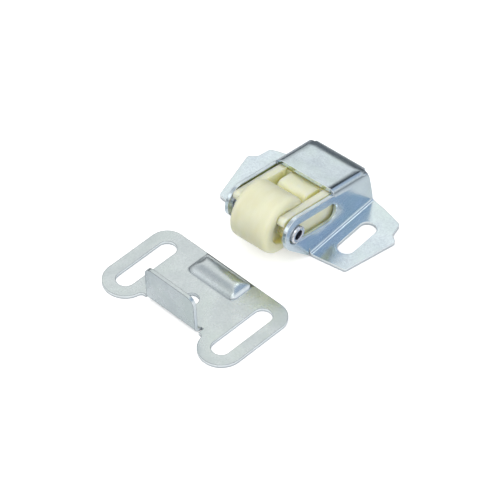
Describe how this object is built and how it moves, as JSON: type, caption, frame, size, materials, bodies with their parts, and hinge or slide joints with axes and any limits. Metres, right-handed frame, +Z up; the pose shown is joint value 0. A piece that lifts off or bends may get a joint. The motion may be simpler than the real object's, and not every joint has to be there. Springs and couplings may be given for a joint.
{
  "type": "roller catch",
  "caption": "Cupboard roller catch: folded steel case with a sprung nylon roller on a hollow pin, and the stamped steel strike plate with stop tab and hump that it clips over.",
  "frame": {"origin": "on the mounting face, at the middle of the rectangle that case and strike fill together", "axes": "+X along the roller's pin, +Y to the back of the case, away from the roller, +Z up from the mounting face"},
  "size_m": [0.0488, 0.069, 0.019],
  "materials": {
    "plated_steel": "bright zinc plated sheet",
    "strike_steel": "bright zinc plated sheet",
    "pin_steel": "nickel plated, smooth",
    "roller_nylon": "natural nylon, slightly translucent",
    "yoke_nylon": "natural nylon, slightly translucent",
    "spring_steel": "drawn wire"
  },
  "bodies": {
    "case": {"case": "plated_steel", "strike_plate": "strike_steel", "spring": "spring_steel"},
    "carriage": {"yoke": "yoke_nylon", "axle_pin": "pin_steel"},
    "roller": {"roller": "roller_nylon"}
  },
  "joints": [
    {"name": "carriage_slide", "type": "slide", "parent": "case", "child": "carriage", "axis": [0, 0.9763, -0.2164], "range_m": [0, 0.0076], "stiffness_N_per_m": 1500, "springref_m": -0.0053, "deforming": ["spring"]},
    {"name": "roller_spin", "type": "hinge", "parent": "carriage", "child": "roller", "pos_m": [0.00065, 0.0049, 0.01115], "axis": [1, 0, 0], "continuous": true}
  ]
}
